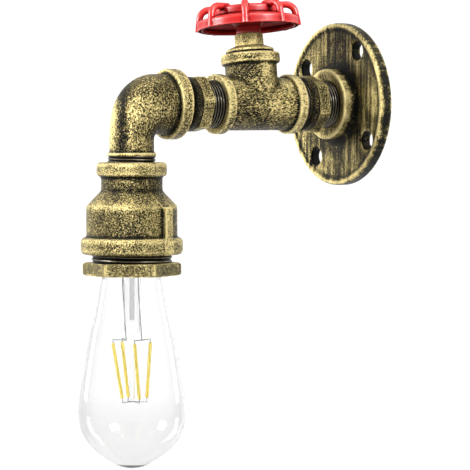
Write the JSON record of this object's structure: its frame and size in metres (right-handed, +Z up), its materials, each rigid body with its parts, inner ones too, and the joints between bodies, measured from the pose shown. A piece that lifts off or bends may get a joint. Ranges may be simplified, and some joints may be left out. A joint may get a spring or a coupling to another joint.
{
  "type": "wall light",
  "caption": "Wall light of screwed pipe fittings: round wall flange, valve tee with a red handwheel, elbow, reducing socket and a hanging clear glass bulb.",
  "frame": {"origin": "centre of the wall flange's back face, on the wall plane", "axes": "+Z up, +Y into the wall, the arm leaves the wall along -Y, +X to the right when facing the wall"},
  "size_m": [0.1, 0.1858, 0.2798],
  "materials": {
    "cast_bronzed": "antique brass brushed over black",
    "black_thread": "glossy black threads with rubbed crests",
    "red_enamel": "glossy red paint",
    "steel": "zinc plated",
    "packing": "matt",
    "porcelain": "glazed porcelain",
    "brass": "drawn brass",
    "cap_metal": "nickel plated",
    "clear_glass": "clear blown glass",
    "black_glass": "vitreous insulator",
    "filament": "phosphor coated",
    "lead_wire": "drawn wire",
    "wire_brown": "insulation",
    "wire_blue": "insulation",
    "wire_green": "insulation with a yellow stripe"
  },
  "bodies": {
    "pipework": {"wall_flange": "cast_bronzed", "rear_nipple": "cast_bronzed", "valve_tee": "cast_bronzed", "front_nipple": "cast_bronzed", "street_elbow": "cast_bronzed", "reducing_socket": "cast_bronzed", "hex_bushing": "cast_bronzed", "bonnet_gasket": "packing", "valve_bonnet": "cast_bronzed", "gland_nut": "cast_bronzed", "gland_packing": "packing", "holder_washer": "packing", "lampholder_body": "porcelain", "screw_shell": "brass", "live_terminal": "brass", "neutral_terminal": "brass", "centre_contact": "brass", "terminal_screws": "steel", "earth_lug": "steel", "earth_screw": "steel", "live_wire": "wire_brown", "neutral_wire": "wire_blue", "earth_wire": "wire_green"},
    "handwheel": {"handwheel": "red_enamel", "valve_stem": "brass", "wheel_washer": "steel", "wheel_nut": "steel"},
    "bulb": {"bulb_cap": "cap_metal", "bulb_insulator": "black_glass", "bulb_contact": "cap_metal", "bulb_glass": "clear_glass", "bulb_stem": "clear_glass", "bulb_filaments": "filament", "bulb_support_wires": "lead_wire"}
  },
  "joints": [
    {"name": "handwheel_turn", "type": "hinge", "parent": "pipework", "child": "handwheel", "pos_m": [0, -0.0677, 0], "axis": [-0.1219, 0, 0.9925], "continuous": true},
    {"name": "bulb_withdraw", "type": "slide", "parent": "pipework", "child": "bulb", "axis": [0, 0, -1], "range_m": [0, 0.045]}
  ]
}
